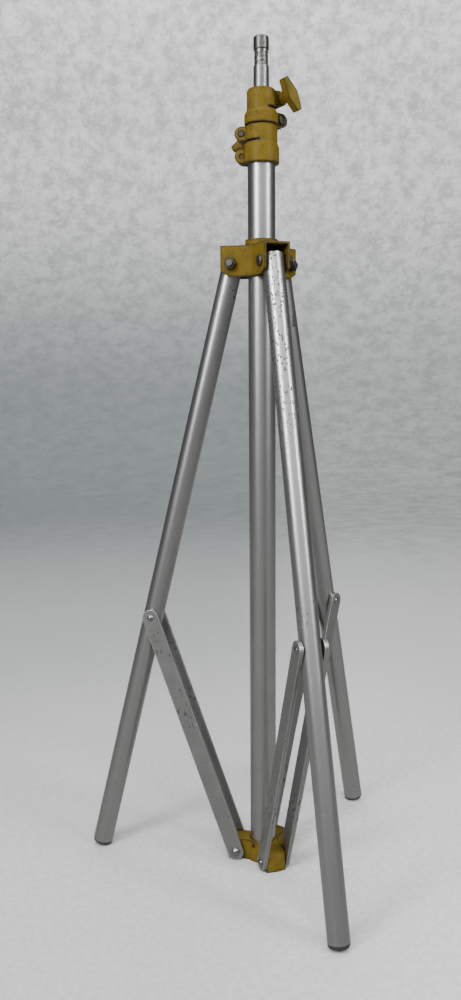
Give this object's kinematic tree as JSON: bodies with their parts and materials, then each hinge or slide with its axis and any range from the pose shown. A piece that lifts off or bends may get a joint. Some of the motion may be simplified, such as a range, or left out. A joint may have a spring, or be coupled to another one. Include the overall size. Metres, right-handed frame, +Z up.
{
  "type": "telescoping tripod stand",
  "caption": "Folding tripod stand: a telescoping column with screw clamps, a sliding leg hub, tube legs with flat-bar braces, and a round grooved stud on top.",
  "frame": {"origin": "centre of the base spider's flat underside, on the column's axis, in the plane of the floor", "axes": "+Z up along the column; leg 1 points along -Y, leg 2 at 30 degrees and leg 3 at 150 degrees from +X toward +Y"},
  "size_m": [0.3478, 0.3041, 0.88],
  "materials": {
    "tube": "satin drawn tube, pitted and scratched",
    "flat_bar": "dull rolled bar",
    "yellow_paint": "chipped ochre paint over cast metal",
    "fasteners": "dull plated steel",
    "rivets": "bright domed heads",
    "foot_cap": "worn dark grey plastic",
    "stud": "turned, scuffed steel"
  },
  "bodies": {
    "column": {"column_tube": "tube", "base_spider": "yellow_paint", "base_pin": "fasteners", "lower_clamp": "yellow_paint", "lower_clamp_bolt": "fasteners"},
    "lower_knob": {"lower_knob": "yellow_paint", "lower_knob_screw": "fasteners"},
    "middle": {"middle_tube": "tube", "upper_clamp": "yellow_paint", "upper_clamp_bolt": "fasteners"},
    "upper_knob": {"upper_knob": "yellow_paint", "upper_knob_screw": "fasteners"},
    "inner": {"inner_tube": "tube", "stud": "stud", "stud_pin": "fasteners"},
    "hub": {"hub_bracket": "yellow_paint", "hub_bolts": "fasteners", "hub_nuts": "fasteners"},
    "leg_1": {"leg_tube_1": "tube", "foot_cap_1": "foot_cap"},
    "brace_1": {"brace_1_left_bar": "flat_bar", "brace_1_right_bar": "flat_bar", "leg_rivet_1": "rivets", "base_rivet_1": "rivets"},
    "leg_2": {"leg_tube_2": "tube", "foot_cap_2": "foot_cap"},
    "brace_2": {"brace_2_left_bar": "flat_bar", "brace_2_right_bar": "flat_bar", "leg_rivet_2": "rivets", "base_rivet_2": "rivets"},
    "leg_3": {"leg_tube_3": "tube", "foot_cap_3": "foot_cap"},
    "brace_3": {"brace_3_left_bar": "flat_bar", "brace_3_right_bar": "flat_bar", "leg_rivet_3": "rivets", "base_rivet_3": "rivets"}
  },
  "joints": [
    {"name": "brace_1_fold", "type": "hinge", "parent": "column", "child": "brace_1", "pos_m": [0, -0.0295, 0.0095], "axis": [-1, 0, 0], "range_deg": [-3, 16.5]},
    {"name": "leg_1_fold", "type": "hinge", "parent": "brace_1", "child": "leg_1", "pos_m": [0, -0.12293, 0.27444], "axis": [1, 0, 0], "range_deg": [-5.14, 28.21]},
    {"name": "brace_2_fold", "type": "hinge", "parent": "column", "child": "brace_2", "pos_m": [0.02555, 0.01475, 0.0095], "axis": [0.5, -0.866, 0], "range_deg": [-3, 16.5]},
    {"name": "leg_2_fold", "type": "hinge", "parent": "brace_2", "child": "leg_2", "pos_m": [0.10646, 0.06146, 0.27444], "axis": [-0.5, 0.866, 0], "range_deg": [-5.14, 28.21]},
    {"name": "brace_3_fold", "type": "hinge", "parent": "column", "child": "brace_3", "pos_m": [-0.02555, 0.01475, 0.0095], "axis": [0.5, 0.866, 0], "range_deg": [-3, 16.5]},
    {"name": "leg_3_fold", "type": "hinge", "parent": "brace_3", "child": "leg_3", "pos_m": [-0.10646, 0.06146, 0.27444], "axis": [-0.5, -0.866, 0], "range_deg": [-5.14, 28.21]},
    {"name": "hub_rise", "type": "hinge", "parent": "leg_1", "child": "hub", "pos_m": [0, -0.03077, 0.65391], "axis": [-1, 0, 0], "range_deg": [-2.14, 11.71]},
    {"name": "middle_slide", "type": "slide", "parent": "column", "child": "middle", "axis": [0, 0, 1], "range_m": [0, 0.62]},
    {"name": "inner_slide", "type": "slide", "parent": "middle", "child": "inner", "axis": [0, 0, 1], "range_m": [0, 0.62]},
    {"name": "lower_knob_turn", "type": "hinge", "parent": "column", "child": "lower_knob", "pos_m": [-0.01653, 0.01033, 0.78441], "axis": [0.5299, 0.848, 0], "range_deg": [-360, 0]},
    {"name": "upper_knob_turn", "type": "hinge", "parent": "middle", "child": "upper_knob", "pos_m": [0.0198, 0.00399, 0.82081], "axis": [0.1977, -0.9803, 0], "range_deg": [-360, 0]}
  ],
  "couplings": [
    {"joint": "leg_1_fold", "follows": "brace_1_fold", "ratio": 1.7093},
    {"joint": "leg_2_fold", "follows": "brace_1_fold", "ratio": 1.7093},
    {"joint": "brace_2_fold", "follows": "brace_1_fold", "ratio": 1},
    {"joint": "leg_3_fold", "follows": "brace_1_fold", "ratio": 1.7093},
    {"joint": "brace_3_fold", "follows": "brace_1_fold", "ratio": 1},
    {"joint": "hub_rise", "follows": "brace_1_fold", "ratio": 0.7093}
  ]
}
